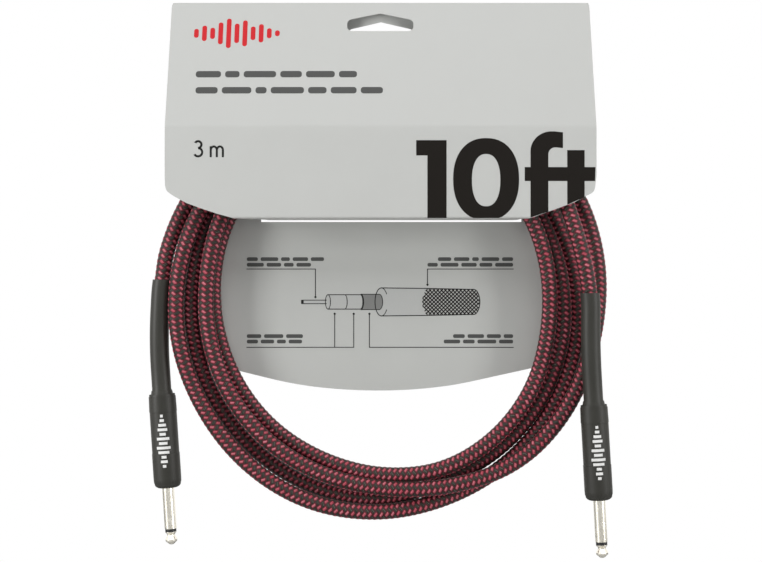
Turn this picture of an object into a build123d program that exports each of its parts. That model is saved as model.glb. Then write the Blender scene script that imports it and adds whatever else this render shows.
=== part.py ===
from build123d import *
import math
import os

# Instrument cable: a braided cable with two straight 6.35 mm two-pole plugs, wound
# into a flat coil that hangs in a folded retail card.
# Frame: +Z up, the coil lies in the XZ plane, -Y is the card's printed front.
# Origin: the peak of the hang slot in the back panel, where the hook carries it.

os.makedirs("parts", exist_ok=True)

# ---------------------------------------------------------------- dimensions
CARD_T = 0.6            # card thickness
FOLD_Y = 0.3            # top fold axis, which is the hinge
FOLD_Z = 9.9
CREASE_Y = -28.0        # outer face of the upright lower part of the front panel
CREASE_Z = -58.5
BOTTOM_Z = -106.2       # bottom fold of the front panel
PANEL_X0 = -111.9       # card's left and right edges
PANEL_X1 = 111.5
CORNER_Z = -90.0        # where the front panel's lower corners are cut off
FLAP_X0 = -76.3         # bottom fold's ends
FLAP_X1 = 76.9
TONGUE_X0 = -62.0       # tongue that passes through the back panel's slit
TONGUE_X1 = 73.2
TONGUE_Y = 8.0
SLIT_X0 = -64.2
SLIT_X1 = 75.2
SLIT_Z0 = -107.0
SLIT_Z1 = -104.6
SLOT_HALF = 17.6        # hang slot: half width, height at its ends and middle
SLOT_RISE = 4.1
SLOT_H = 10.9
BACK_SHOULDER_Z = -84.0
BACK_LOW_X = 97.5
BACK_CORNER_Z = -181.8
BACK_BOTTOM_Z = -197.4

CABLE_R = 4.0           # cable radius over the braid
COIL_OUT_R = 115.4      # coil's outer and inner circles, slightly eccentric
COIL_OUT_X = 4.8
COIL_IN_R = 86.4
COIL_Z = -148.7
COIL_Y0 = -16.8
COIL_Y1 = -0.9
COIL_EDGE_R = 6.2

SHAFT_R = 3.175         # standard 6.35 mm phone plug
SHAFT_L = 30.5          # tip's end to the barrel's front
RING_R = 2.95
ROD_R = 1.2
INSUL_R = 2.0
HUB_R = 5.3
FLANGE_R = 6.3
SHELL_R = 6.55
SHELL_END = 79.0        # rear end of the metal shell, from the tip's end
BOOT_R = 7.3
BOOT_NECK_R = 5.05

# plug positions: tip end, lean of the axis, height of the shrink sleeve's top
PLUG_A = dict(tip=(-110.8, -9.0, -278.0), lean=3.70, boot_top=-137.8)
PLUG_B = dict(tip=(115.2, -23.0, -282.6), lean=3.27, boot_top=-144.8)
JACKET_S = 56.0         # where the cable's jacket ends inside the plug, from the tip

# corners of the two free ends, from above the shrink sleeve into the coil
ROUTE_A = [(-116.2, -9.0, -137.8), (-110.9, -9.0, -116.9), (-101.4, -9.0, -86.7),
           (-82.9, -9.0, -63.1), (-59.2, -9.0, -48.3), (-31.8, -9.0, -43.0),
           (-5.9, -9.0, -45.2)]
ROUTE_B = [(109.2, -23.0, -144.8), (104.6, -22.6, -125.6), (99.7, -21.6, -105.8),
           (89.3, -19.4, -79.8), (70.6, -16.0, -59.6), (47.6, -12.8, -47.6),
           (24.0, -10.6, -43.2)]


def save(shape, name):
    solids = shape.solids()
    solid = solids[0] if len(solids) == 1 else Compound(children=list(solids))
    export_step(solid, f"parts/{name}.step")
    print(f"{name:28s} solids {len(solids)}  volume {sum(s.volume for s in solids):10.2f}")
    return shape


# ---------------------------------------------------------------- card
def offset_line(points, t):
    """The polyline moved by t to its left, with mitred corners."""
    out = []
    n = len(points)
    for i, p in enumerate(points):
        dirs = []
        if i > 0:
            dirs.append((p[0] - points[i - 1][0], p[1] - points[i - 1][1]))
        if i < n - 1:
            dirs.append((points[i + 1][0] - p[0], points[i + 1][1] - p[1]))
        norms = []
        for dx, dy in dirs:
            length = math.hypot(dx, dy)
            norms.append((-dy / length, dx / length))
        nx = sum(a for a, b in norms) / len(norms)
        ny = sum(b for a, b in norms) / len(norms)
        k = t / (nx * nx + ny * ny)
        out.append((p[0] + nx * k, p[1] + ny * k))
    return out


def slot_outline(x0, top):
    """The hang slot as (x, height) points: a low house shape with round ends."""
    pts = [(x0, top), (x0 + SLOT_HALF, top - SLOT_RISE), (x0 + SLOT_HALF, top - SLOT_H),
           (x0 - SLOT_HALF, top - SLOT_H), (x0 - SLOT_HALF, top - SLOT_RISE)]
    face = make_face(Polyline(*pts, close=True))
    corners = [v for v in face.vertices() if abs(v.X - x0) > 5]
    face = fillet(corners, 2.8)
    return face


# front panel: slanted part, upright part; its profile is in (y, z)
outer = [(FOLD_Y - 0.25, FOLD_Z + 0.35), (CREASE_Y, CREASE_Z), (CREASE_Y, BOTTOM_Z)]
inner = offset_line(outer, CARD_T)
if inner[2][0] < outer[2][0]:
    inner = offset_line(outer, -CARD_T)
profile = outer + inner[::-1]
# drawn on YZ: local x = y, local y = z, extruded along x
front = extrude(Plane.YZ * make_face(Polyline(*profile, close=True)), 130, both=True)
front_outline = [(PANEL_X0, 30), (PANEL_X1, 30), (PANEL_X1, CORNER_Z), (FLAP_X1, BOTTOM_Z),
                 (FLAP_X0, BOTTOM_Z), (PANEL_X0, CORNER_Z)]
fo = make_face(Polyline(*front_outline, close=True))
fo = fillet([v for v in fo.vertices() if abs(v.Y - CORNER_Z) < 0.01], 5)
front = front & extrude(Plane.XZ * fo, 60, both=True)
# round bead on the fold, about which the panel turns
bead = Pos((PANEL_X0 + PANEL_X1) / 2, FOLD_Y, FOLD_Z) * Rot(0, 90, 0) * Cylinder(
    0.5, PANEL_X1 - PANEL_X0)
front = front + bead
# tuck flap and tongue
rise = 0.5
tuck_side = [(CREASE_Y, BOTTOM_Z), (TONGUE_Y, BOTTOM_Z + rise),
             (TONGUE_Y, BOTTOM_Z + rise + CARD_T), (CREASE_Y, BOTTOM_Z + CARD_T)]
tuck = extrude(Plane.YZ * make_face(Polyline(*tuck_side, close=True)), 120, both=True)
tuck_plan = [(FLAP_X0, CREASE_Y - 1), (FLAP_X1, CREASE_Y - 1), (FLAP_X1, CREASE_Y + 2),
             (TONGUE_X1 + 0.4, -19.0), (TONGUE_X1, -2.0), (TONGUE_X1 - 1.0, TONGUE_Y + 1),
             (TONGUE_X0 + 1.0, TONGUE_Y + 1), (TONGUE_X0, -2.0), (-73.4, -19.0),
             (FLAP_X0, CREASE_Y + 2)]
tuck = tuck & extrude(Plane.XY * make_face(Polyline(*tuck_plan, close=True)), 200, both=True)
front = front + tuck
# hang slot, cut square to the slanted part
slant = math.degrees(math.atan2(-(CREASE_Y - FOLD_Y), FOLD_Z - CREASE_Z))
slant_plane = Plane(origin=(0, FOLD_Y - 0.25, FOLD_Z + 0.35), x_dir=(1, 0, 0),
                    z_dir=(0, -math.cos(math.radians(slant)), math.sin(math.radians(slant))))
front = front - extrude(slant_plane * slot_outline(-0.4, -6.5), 6, both=True)
front = save(front, "header_front_panel")

# back panel; its top edge is bevelled to lie against the slanted panel
back_outline = [(PANEL_X0, 20), (PANEL_X1, 20), (PANEL_X1, BACK_SHOULDER_Z),
                (BACK_LOW_X, -110.0), (BACK_LOW_X, BACK_CORNER_Z),
                (28.0, BACK_BOTTOM_Z), (-33.0, BACK_BOTTOM_Z),
                (-BACK_LOW_X, BACK_CORNER_Z + 0.4), (-BACK_LOW_X, -110.0),
                (PANEL_X0, BACK_SHOULDER_Z)]
bo = make_face(Polyline(*back_outline, close=True))
bo = fillet([v for v in bo.vertices() if abs(v.X - 28.0) < 0.01], 93)
bo = fillet([v for v in bo.vertices() if abs(v.X + 33.0) < 0.01], 170)
bo = fillet([v for v in bo.vertices() if abs(abs(v.X) - BACK_LOW_X) < 0.01 and v.Y < -150], 10)
back = extrude(Plane.XZ * bo, -CARD_T)
bevel = [(-1, 8.1 - 2.17), (0, 8.1), (CARD_T, 9.4), (1.6, 9.4), (1.6, 30), (-1, 30)]
back = back - extrude(Plane.YZ * make_face(Polyline(*bevel, close=True)), 130, both=True)
back = back - extrude(Plane.XZ * slot_outline(0, 0), 3, both=True)
slit_c = ((SLIT_X0 + SLIT_X1) / 2, (SLIT_Z0 + SLIT_Z1) / 2)
back = back - Pos(slit_c[0], 0, slit_c[1]) * Box(SLIT_X1 - SLIT_X0, 8, SLIT_Z1 - SLIT_Z0)
back = save(back, "header_back_panel")


# ---------------------------------------------------------------- plugs
def ring(r_out, r_in, s0, s1):
    body = Pos(0, 0, (s0 + s1) / 2) * Cylinder(r_out, s1 - s0)
    if r_in > 0:
        body = body - Pos(0, 0, (s0 + s1) / 2) * Cylinder(r_in, s1 - s0 + 2)
    return body


def turned(points):
    """A solid of revolution about local Z from (radius, height) points."""
    return revolve(Plane.XZ * make_face(Polyline(*points, close=True)), Axis.Z)


def plug_parts():
    """One plug in its own frame: tip's end at 0, +Z towards the cable."""
    p = {}
    # tip: rounded nose, widest part, waist and shoulder, then the rod
    nose = Spline((0.0, 0.0), (1.15, 0.22), (2.35, 1.25), (SHAFT_R - 0.02, 2.75),
                  tangents=[(1, 0), (0, 1)])
    body = Polyline((SHAFT_R - 0.02, 2.75), (2.05, 4.9), (2.05, 5.5), (2.95, 6.5), (2.95, 6.8),
                    (ROD_R, 6.8), (ROD_R, 46.0), (0, 46.0), (0, 0))
    p["tip_rod"] = revolve(Plane.XZ * make_face([nose, body]), Axis.Z)
    p["tip_insulator"] = ring(RING_R, ROD_R, 6.8, 8.5)
    p["core_insulator"] = ring(INSUL_R, ROD_R, 8.5, 42.4)
    p["shaft_sleeve"] = turned([(INSUL_R, 8.5), (SHAFT_R, 8.5), (SHAFT_R, 31.2), (FLANGE_R, 31.2),
                                (FLANGE_R, 33.4), (HUB_R, 33.4), (HUB_R, 41.4), (INSUL_R, 41.4)])
    p["rear_washer"] = ring(4.1, INSUL_R, 42.0, 43.2)
    # tip lug: eyelet on the rod and a tongue that carries the joint
    lug = ring(2.6, ROD_R, 43.2, 43.8)
    lug = lug + Pos(0, 1.9, 47.6) * Box(2.4, 0.6, 8.8)
    p["tip_lug"] = lug
    # ground lug: washer on the hub, strip along the shell and a clamp round the jacket
    lugg = ring(HUB_R - 0.3, INSUL_R, 41.4, 42.0)
    lugg = lugg + Pos(0, -4.55, 50.2) * Box(3.2, 0.6, 17.6)
    clamp = ring(CABLE_R + 0.95, CABLE_R, 57.0, 61.5) & Pos(0, -5.0, 59.2) * Box(20, 11.0, 10)
    lugg = lugg + clamp
    p["ground_lug"] = lugg
    p["barrel_shell"] = turned([(HUB_R, 33.4), (SHELL_R, 33.4), (SHELL_R, 72.0), (5.2, SHELL_END),
                                (4.3, SHELL_END), (5.9, 70.8), (5.9, 41.6), (HUB_R, 41.6)])
    p["barrel_liner"] = ring(5.8, 5.2, 43.4, 69.6)
    p["solder_tip"] = Pos(0, 0.9, 50.4) * Box(1.9, 1.4, 2.6)
    p["solder_tip"] = fillet(p["solder_tip"].edges(), 0.4)
    p["conductor_end"] = Pos(0, 0.9, 52.45) * Cylinder(0.6, 1.5)
    p["core_insulation_end"] = Pos(0, 0.9, 54.6) * Cylinder(1.5, 2.8)
    p["shield_tail"] = Pos(0, -3.2, 54.2) * Cylinder(0.75, 3.6)
    p["solder_ground"] = fillet((Pos(0, -3.35, 51.2) * Box(2.0, 1.8, 2.4)).edges(), 0.4)
    return p


def boot_parts():
    """Outer skin of the shrink boot over the shell, from the front lip to the neck's foot."""
    skin = turned([(4.4, 31.0 - 0.5), (5.6, 30.5), (6.6, 31.2), (7.1, 32.4), (BOOT_R, 34.0),
                   (BOOT_R, 40.8), (7.18, 41.2), (7.18, 64.6), (7.28, 65.0), (7.28, 74.0),
                   (BOOT_R - 0.35, 76.6), (BOOT_NECK_R + 0.35, 80.6), (BOOT_NECK_R, 82.4),
                   (CABLE_R, 82.4), (CABLE_R, SHELL_END + 0.1), (4.3, SHELL_END), (5.2, SHELL_END),
                   (SHELL_R, 72.0), (SHELL_R, 33.4), (FLANGE_R, 33.4), (FLANGE_R, 31.2), (4.4, 31.2)])
    return skin


def radii_of(points):
    """Largest tangent arc at each corner: 0.45 of the shorter run over tan(half turn)."""
    out = []
    for a, b, c in zip(points, points[1:], points[2:]):
        u, v = Vector(*b) - Vector(*a), Vector(*c) - Vector(*b)
        turn = math.radians(u.get_angle(v))
        out.append(0.45 * min(u.length, v.length) / math.tan(turn / 2))
    return out


def build_end(side, spec, route):
    lean = math.radians(spec["lean"])
    axis = Vector(-math.sin(lean), 0, math.cos(lean))       # from the tip towards the cable
    tip = Vector(*spec["tip"])
    plane = Plane(origin=tip, x_dir=(math.cos(lean), 0, math.sin(lean)), z_dir=axis)
    # route: jacket end, a corner half way up the neck, then the free corners
    p0 = tip + axis * JACKET_S
    neck = tip + axis * (JACKET_S + 52.0)
    points = [tuple(p0), tuple(neck)] + list(route)
    radii = radii_of(points)
    print("lead", side, "points", len(points), "radii",
          [round(r, 1) for r in radii])
    path = FilletPolyline(*points, radius=radii)
    start = Plane(origin=p0, x_dir=(0, 1, 0), z_dir=axis)
    lead = sweep(start * Circle(CABLE_R), path=path)
    length = path.length
    print("lead", side, "length", round(length, 1), "volume ratio",
          round(lead.volume / (math.pi * CABLE_R ** 2 * length), 4))
    # neck of the boot: the same path, cut at the sleeve's top
    short = FilletPolyline(*points[:4], radius=radii[:2])
    neck_tube = sweep(start * Circle(BOOT_NECK_R), path=short) - sweep(
        start * Circle(CABLE_R), path=short)
    keep_low = plane * (Pos(0, 0, 82.4 + 100) * Box(60, 60, 200))
    neck_tube = neck_tube & keep_low
    top = Pos(spec["tip"][0], spec["tip"][1], spec["boot_top"] - 100) * Box(60, 60, 200)
    neck_tube = neck_tube & top
    boot = plane * boot_parts() + neck_tube
    save(boot, f"heat_shrink_boot_{side}")
    made = {}
    for name, shape in plug_parts().items():
        placed = plane * shape
        made[name] = placed
        save(placed, f"{name}_{side}")
    return lead, path


lead_a, path_a = build_end("a", PLUG_A, ROUTE_A)
lead_b, path_b = build_end("b", PLUG_B, ROUTE_B)

# ---------------------------------------------------------------- coil
outer_disc = Plane.XZ.offset(-COIL_Y1) * Pos(COIL_OUT_X, COIL_Z) * Circle(COIL_OUT_R)
inner_disc = Plane.XZ.offset(-COIL_Y1) * Pos(0, COIL_Z) * Circle(COIL_IN_R)
coil = extrude(outer_disc - inner_disc, COIL_Y1 - COIL_Y0)
coil = fillet(coil.edges(), COIL_EDGE_R)
bb = coil.bounding_box()
print("coil box", bb.min, bb.max)
coil = coil - lead_a - lead_b
save(coil, "cable_coil")
save(lead_a, "cable_lead_a")
save(lead_b, "cable_lead_b")
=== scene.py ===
"""Looks of the braided instrument cable: a coil in a folded hang card, with two 6.35 mm plugs.
Lengths in the tables are millimetres; MM turns them into metres."""
import math

import bmesh
import bpy
import numpy as np
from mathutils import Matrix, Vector
from mathutils.bvhtree import BVHTree
from mathutils.geometry import tessellate_polygon


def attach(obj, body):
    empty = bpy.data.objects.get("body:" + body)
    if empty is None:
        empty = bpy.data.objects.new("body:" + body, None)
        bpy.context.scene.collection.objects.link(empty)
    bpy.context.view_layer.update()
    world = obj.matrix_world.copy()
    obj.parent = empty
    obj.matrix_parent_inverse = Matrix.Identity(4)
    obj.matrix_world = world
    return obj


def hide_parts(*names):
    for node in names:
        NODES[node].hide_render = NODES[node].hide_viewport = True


MM = 0.001
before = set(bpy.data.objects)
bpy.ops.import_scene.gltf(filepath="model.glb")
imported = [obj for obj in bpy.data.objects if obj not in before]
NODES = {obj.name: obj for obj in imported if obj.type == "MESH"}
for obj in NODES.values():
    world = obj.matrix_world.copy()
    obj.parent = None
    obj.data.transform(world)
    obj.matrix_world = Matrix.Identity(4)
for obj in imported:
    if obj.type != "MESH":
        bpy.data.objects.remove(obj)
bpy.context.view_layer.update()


ROOT = "cable_and_back_panel"
FLAP = "header_flap"
scene = bpy.context.scene


# ------------------------------------------------------------------ helpers
def new_object(name, verts, faces, material, body, smooth=True, angle=35.0):
    mesh = bpy.data.meshes.new(name)
    mesh.from_pydata([tuple(v) for v in verts], [], [tuple(f) for f in faces])
    mesh.update()
    obj = bpy.data.objects.new(name, mesh)
    scene.collection.objects.link(obj)
    if material is not None:
        mesh.materials.append(material)
    if smooth:
        mesh.shade_smooth()
        mesh.set_sharp_from_angle(angle=math.radians(angle))
    if body:
        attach(obj, body)
    return obj


def clean_normals(obj):
    bm = bmesh.new()
    bm.from_mesh(obj.data)
    bmesh.ops.remove_doubles(bm, verts=bm.verts, dist=1e-7)
    bmesh.ops.recalc_face_normals(bm, faces=bm.faces)
    bm.to_mesh(obj.data)
    bm.free()


def apply_modifiers(obj):
    deps = bpy.context.evaluated_depsgraph_get()
    deps.update()
    mesh = bpy.data.meshes.new_from_object(obj.evaluated_get(deps))
    obj.modifiers.clear()
    old = obj.data
    obj.data = mesh
    bpy.data.meshes.remove(old)


class Tree:
    """A short way to write a material's nodes."""

    def __init__(self, name):
        self.material = bpy.data.materials.new(name)
        self.material.use_nodes = True
        self.nt = self.material.node_tree
        self.nt.nodes.clear()
        self.out = self.nt.nodes.new("ShaderNodeOutputMaterial")
        self.bsdf = self.nt.nodes.new("ShaderNodeBsdfPrincipled")
        self.nt.links.new(self.bsdf.outputs[0], self.out.inputs[0])

    def node(self, kind, **values):
        n = self.nt.nodes.new(kind)
        for k, v in values.items():
            setattr(n, k, v)
        return n

    def put(self, socket, value):
        if isinstance(value, bpy.types.NodeSocket):
            self.nt.links.new(value, socket)
        elif isinstance(value, (tuple, list)) and len(value) == 3 and socket.type == "RGBA":
            socket.default_value = (*value, 1.0)
        else:
            socket.default_value = value

    def math(self, op, a, b=None, c=None, clamp=False):
        n = self.node("ShaderNodeMath", operation=op, use_clamp=clamp)
        self.put(n.inputs[0], a)
        if b is not None:
            self.put(n.inputs[1], b)
        if c is not None:
            self.put(n.inputs[2], c)
        return n.outputs[0]

    def mix(self, factor, a, b, kind="MIX"):
        n = self.node("ShaderNodeMix", data_type="RGBA", blend_type=kind)
        self.put(n.inputs[0], factor)
        self.put(n.inputs[6], a)
        self.put(n.inputs[7], b)
        return n.outputs[2]

    def ramp(self, factor, stops, ease="LINEAR"):
        n = self.node("ShaderNodeValToRGB")
        n.color_ramp.interpolation = ease
        el = n.color_ramp.elements
        while len(el) > 1:
            el.remove(el[-1])
        el[0].position, el[0].color = stops[0][0], (*stops[0][1], 1.0)
        for pos, col in stops[1:]:
            e = el.new(pos)
            e.color = (*col, 1.0)
        self.put(n.inputs[0], factor)
        return n.outputs[0]

    def smooth(self, x, low, high, to_low=0.0, to_high=1.0):
        n = self.node("ShaderNodeMapRange", interpolation_type="SMOOTHSTEP")
        self.put(n.inputs[0], x)
        n.inputs[1].default_value, n.inputs[2].default_value = low, high
        n.inputs[3].default_value, n.inputs[4].default_value = to_low, to_high
        return n.outputs[0]

    def coords(self, which="Object"):
        return self.node("ShaderNodeTexCoord").outputs[which]

    def noise(self, vector, scale, detail=2.0, rough=0.5, stretch=None):
        if stretch:
            m = self.node("ShaderNodeMapping")
            self.put(m.inputs[0], vector)
            m.inputs[3].default_value = stretch
            vector = m.outputs[0]
        n = self.node("ShaderNodeTexNoise")
        self.put(n.inputs["Vector"], vector)
        n.inputs["Scale"].default_value = scale
        n.inputs["Detail"].default_value = detail
        n.inputs["Roughness"].default_value = rough
        return n.outputs[0]

    def bump(self, height, strength, distance):
        n = self.node("ShaderNodeBump")
        n.inputs["Strength"].default_value = strength
        n.inputs["Distance"].default_value = distance
        self.put(n.inputs["Height"], height)
        self.nt.links.new(n.outputs[0], self.bsdf.inputs["Normal"])
        return n

    def set(self, **values):
        for k, v in values.items():
            self.put(self.bsdf.inputs[k.replace("_", " ")], v)
        return self


# ------------------------------------------------------------------ materials
BRAID_N = 6            # flat bundles each way: 6 red one way, 6 dark the other, over one and under one
BRAID_LEAD = 17.7      # mm of cable for one turn of a bundle
BRAID_PHASE = 0.043


def braid_material():
    t = Tree("braid_red_black")
    sep = t.node("ShaderNodeSeparateXYZ")
    uv = t.node("ShaderNodeUVMap", uv_map="BraidUV")
    t.put(sep.inputs[0], uv.outputs[0])
    u, v = t.math("ADD", sep.outputs[0], BRAID_PHASE), sep.outputs[1]      # u: turns round, v: metres along
    vl = t.math("MULTIPLY", v, 1.0 / (BRAID_LEAD * MM))
    p = t.math("MULTIPLY", t.math("ADD", u, vl), float(BRAID_N))
    q = t.math("MULTIPLY", t.math("SUBTRACT", u, vl), float(BRAID_N))
    fp, fq = t.math("FLOOR", p), t.math("FLOOR", q)
    # 0: the red bundle is on top, 1: the dark one
    odd = t.math("GREATER_THAN", t.math("FLOORED_MODULO", t.math("ADD", fp, fq), 2.0), 0.5)
    even = t.math("SUBTRACT", 1.0, odd)
    rp, rq = t.math("SUBTRACT", p, fp), t.math("SUBTRACT", q, fq)
    # across and along the bundle that lies on top here, both from -0.5 to 0.5
    across = t.math("ADD", t.math("MULTIPLY", rp, even), t.math("MULTIPLY", rq, odd))
    across = t.math("SUBTRACT", across, 0.5)
    along = t.math("ADD", t.math("MULTIPLY", rq, even), t.math("MULTIPLY", rp, odd))
    along = t.math("SUBTRACT", along, 0.5)
    ab_across, ab_along = t.math("ABSOLUTE", across), t.math("ABSOLUTE", along)
    crown = t.math("MULTIPLY", t.smooth(ab_across, 0.02, 0.36, 1.0, 0.0), t.smooth(ab_along, 0.28, 0.56, 1.0, 0.0))
    # painted shade: darker where the picks meet
    painted_crevice_shade = t.math("MULTIPLY", t.smooth(ab_across, 0.38, 0.50, 1.0, 0.3), t.smooth(ab_along, 0.38, 0.50, 1.0, 0.2))
    # filaments run along each yarn
    n_long = t.noise(uv.outputs[0], 1.0, 2.0, 0.6, (60.0, 900.0, 1.0))
    wob = t.math("MULTIPLY", t.math("SUBTRACT", n_long, 0.5), 2.2)
    fil = t.math("SINE", t.math("ADD", t.math("MULTIPLY", across, 2 * math.pi * 3.0), wob))
    fil = t.math("MULTIPLY_ADD", fil, 0.5, 0.5)
    # each pick has a slightly different tone
    comb = t.node("ShaderNodeCombineXYZ")
    t.put(comb.inputs[0], fp)
    t.put(comb.inputs[1], fq)
    white = t.node("ShaderNodeTexWhiteNoise", noise_dimensions="3D")
    t.put(white.inputs[0], comb.outputs[0])
    tone = white.outputs[0]
    # painted shade and highlight: the red picks are painted bright on their crowns and dark on their flanks, with a
    # painted pink highlight on the crown, standing in for light falling on the bulge
    red = t.mix(t.smooth(crown, 0.0, 0.5), (0.150, 0.0105, 0.022), (0.53, 0.043, 0.080))
    red = t.mix(t.math("MULTIPLY", t.math("SUBTRACT", 1.0, fil), 0.42), red, (0.095, 0.0075, 0.012))
    painted_highlight = t.math("MULTIPLY", t.smooth(crown, 0.25, 0.80), t.math("MULTIPLY_ADD", tone, 0.55, 0.16))
    red = t.mix(t.math("MULTIPLY", painted_highlight, t.math("MULTIPLY_ADD", fil, 0.5, 0.5)), red, (0.80, 0.32, 0.38))
    # painted shade: the bundle's edges, where they turn down into the weave, are painted darker
    red = t.mix(t.smooth(ab_across, 0.25, 0.35), red, (0.110, 0.0080, 0.0155))
    red = t.mix(t.smooth(ab_across, 0.38, 0.47), red, (0.030, 0.0085, 0.0080))
    # painted highlight: the dark bundles are painted lighter along the filaments of their crowns, with painted grey
    # glints
    dark = t.mix(t.math("MULTIPLY", fil, crown), (0.0065, 0.0065, 0.0040), (0.033, 0.031, 0.021))
    grey = t.math("MULTIPLY", t.smooth(fil, 0.62, 1.0), t.smooth(tone, 0.30, 0.9))
    dark = t.mix(t.math("MULTIPLY", grey, t.smooth(crown, 0.10, 0.60, 0.0, 0.55)), dark, (0.21, 0.175, 0.140))
    # the dark bundles are narrower, so a little red shows beside them, painted dark as painted shade in the recess
    dark = t.mix(t.smooth(ab_across, 0.27, 0.38), dark, (0.092, 0.0075, 0.0135))
    colour = t.mix(odd, red, dark)
    # painted shade: the colour is darkened in the crevices between the picks
    shade = t.math("MULTIPLY_ADD", painted_crevice_shade, 0.72, 0.28)
    dim = t.node("ShaderNodeCombineColor")
    for i in range(3):
        t.put(dim.inputs[i], shade)
    colour = t.mix(1.0, colour, dim.outputs[0], "MULTIPLY")
    t.set(Base_Color=colour, Roughness=t.math("MULTIPLY_ADD", fil, -0.10, 0.56))
    t.bsdf.inputs["Specular IOR Level"].default_value = 0.35
    t.bsdf.inputs["Sheen Weight"].default_value = 0.14
    t.bsdf.inputs["Sheen Roughness"].default_value = 0.4
    t.bsdf.inputs["Sheen Tint"].default_value = (0.9, 0.72, 0.74, 1)
    t.bump(t.math("ADD", t.math("MULTIPLY", crown, 1.2), t.math("MULTIPLY", fil, 0.35)), 0.7, 0.00022)
    return t.material


def card_material(name, base):
    """Coated board: an even pale grey with faint mottle, fine paper grain and a slight gloss."""
    t = Tree(name)
    at = t.coords("Object")
    mottle = t.noise(at, 38.0, 3.0, 0.55)
    fibre = t.noise(at, 1400.0, 3.0, 0.65)
    low = tuple(c * 0.972 for c in base)
    high = tuple(min(1.0, c * 1.02) for c in base)
    colour = t.mix(mottle, low, high)
    speck = t.smooth(fibre, 0.63, 0.75)
    colour = t.mix(t.math("MULTIPLY", speck, 0.05), colour, tuple(c * 0.8 for c in base))
    t.set(Base_Color=colour, Roughness=t.math("MULTIPLY_ADD", mottle, 0.08, 0.44))
    t.bsdf.inputs["Specular IOR Level"].default_value = 0.38
    t.bump(t.math("ADD", fibre, t.math("MULTIPLY", mottle, 1.5)), 0.12, 0.00006)
    return t.material


def ink_material(name, base, rough=0.42, spec=0.35):
    """Printing ink on the board: the board's grain shows in its gloss and density."""
    t = Tree(name)
    at = t.coords("Object")
    fibre = t.noise(at, 1200.0, 2.0, 0.6)
    density = t.noise(at, 90.0, 2.0, 0.5)
    colour = t.mix(t.math("MULTIPLY", fibre, 0.35), base, tuple(min(1.0, c * 1.25 + 0.004) for c in base))
    colour = t.mix(t.math("MULTIPLY", density, 0.12), colour, tuple(c * 0.85 for c in base))
    t.set(Base_Color=colour, Roughness=t.math("MULTIPLY_ADD", fibre, 0.12, rough - 0.06))
    t.bsdf.inputs["Specular IOR Level"].default_value = spec
    t.bump(fibre, 0.08, 0.00004)
    return t.material


def boot_material():
    """Adhesive-lined heat-shrink: matte black with a soft sheen, faint lengthwise flow marks and dust."""
    t = Tree("boot_shrink_black")
    at = t.coords("Object")
    flow = t.noise(at, 60.0, 3.0, 0.55, (6.0, 6.0, 0.6))
    pore = t.noise(at, 1700.0, 2.0, 0.6)
    dust = t.smooth(t.noise(at, 420.0, 4.0, 0.7), 0.60, 0.80)
    colour = t.mix(flow, (0.024, 0.0235, 0.0195), (0.036, 0.0355, 0.030))
    colour = t.mix(t.math("MULTIPLY", dust, 0.16), colour, (0.11, 0.11, 0.10))
    t.set(Base_Color=colour, Roughness=t.math("MULTIPLY_ADD", flow, 0.16, 0.40))
    t.bsdf.inputs["Specular IOR Level"].default_value = 0.34
    t.bump(t.math("ADD", t.math("MULTIPLY", flow, 2.0), pore), 0.16, 0.00010)
    return t.material


def metal_material(name, base, rough, turned=True):
    """Plated metal with fine lathe lines, small handling marks and slight tarnish."""
    t = Tree(name)
    at = t.coords("Object")
    lathe = t.noise(at, 900.0, 2.0, 0.6, (0.10, 0.10, 6.0))
    marks = t.smooth(t.noise(at, 240.0, 4.0, 0.62), 0.56, 0.72)
    tarnish = t.noise(at, 55.0, 3.0, 0.5)
    colour = t.mix(tarnish, base, tuple(c * k for c, k in zip(base, (0.93, 0.90, 0.86))))
    t.set(Base_Color=colour, Metallic=1.0,
          Roughness=t.math("MULTIPLY_ADD", marks, 0.14, t.math("MULTIPLY_ADD", lathe, 0.06, rough)))
    t.bump(t.math("ADD", lathe, t.math("MULTIPLY", marks, -0.4)), 0.10 if turned else 0.05, 0.00005)
    return t.material


def plastic_material(name, base, rough=0.35):
    t = Tree(name)
    at = t.coords("Object")
    grain = t.noise(at, 900.0, 2.0, 0.5)
    cloud = t.noise(at, 70.0, 2.0, 0.5)
    t.set(Base_Color=t.mix(cloud, base, tuple(c * 0.86 for c in base)),
          Roughness=t.math("MULTIPLY_ADD", grain, 0.12, rough))
    t.bump(grain, 0.10, 0.00005)
    return t.material


def solder_material():
    t = Tree("solder_tin")
    at = t.coords("Object")
    frost = t.noise(at, 700.0, 3.0, 0.6)
    t.set(Base_Color=t.mix(frost, (0.62, 0.61, 0.60), (0.80, 0.79, 0.77)), Metallic=1.0,
          Roughness=t.math("MULTIPLY_ADD", frost, 0.25, 0.25))
    t.bump(frost, 0.25, 0.00012)
    return t.material


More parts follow.
